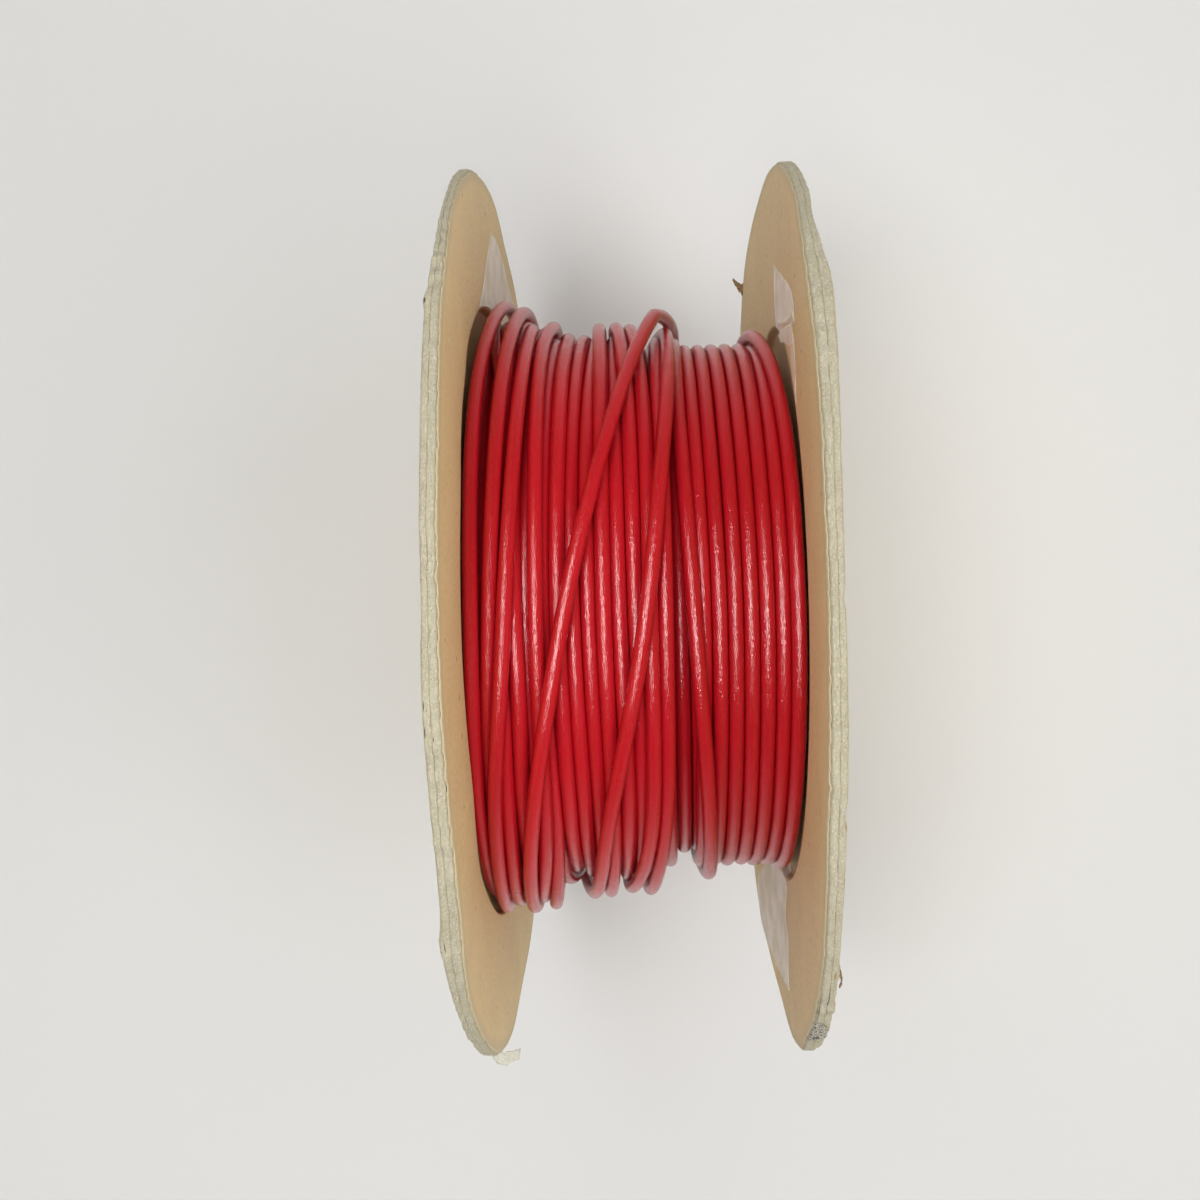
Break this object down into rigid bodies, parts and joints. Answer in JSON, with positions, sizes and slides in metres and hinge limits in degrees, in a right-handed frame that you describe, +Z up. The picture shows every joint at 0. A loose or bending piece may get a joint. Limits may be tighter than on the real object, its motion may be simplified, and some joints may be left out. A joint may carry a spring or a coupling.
{
  "type": "wire reel",
  "caption": "Round-flanged fibreboard reel on a paper barrel, wound with insulated hook-up wire; stands on its rims or turns on an arbor.",
  "frame": {"origin": "middle of the arbor hole, halfway between the flanges", "axes": "+X along the reel's axis, from the left flange to the right one; +Z up when the reel stands on its rims, with the floor half a flange diameter below; +Y points away from someone who looks down on it with the left flange at their left"},
  "size_m": [0.0366, 0.1016, 0.1015],
  "materials": {
    "kraft_liner": "tan kraft paper with a faint grain, matt",
    "greyboard": "cut edge of pale grey-green recycled board, fibrous and speckled",
    "barrel_paper": "spirally wound brown paper tube, matt",
    "wire_jacket": "red PVC insulation with a soft, slightly grainy gloss",
    "clear_film": "thin creased clear wrapping film"
  },
  "bodies": {
    "root": {"left_outer_liner": "kraft_liner", "left_outer_board": "greyboard", "left_inner_board": "greyboard", "left_inner_liner": "kraft_liner", "right_outer_liner": "kraft_liner", "right_outer_board": "greyboard", "right_inner_board": "greyboard", "right_inner_liner": "kraft_liner", "barrel_tube": "barrel_paper", "wire_lower_layers": "wire_jacket", "wire_top_layer": "wire_jacket", "wire_start_tail": "wire_jacket", "clear_film_left": "clear_film", "clear_film_right_upper": "clear_film", "clear_film_right_lower": "clear_film"}
  },
  "joints": []
}
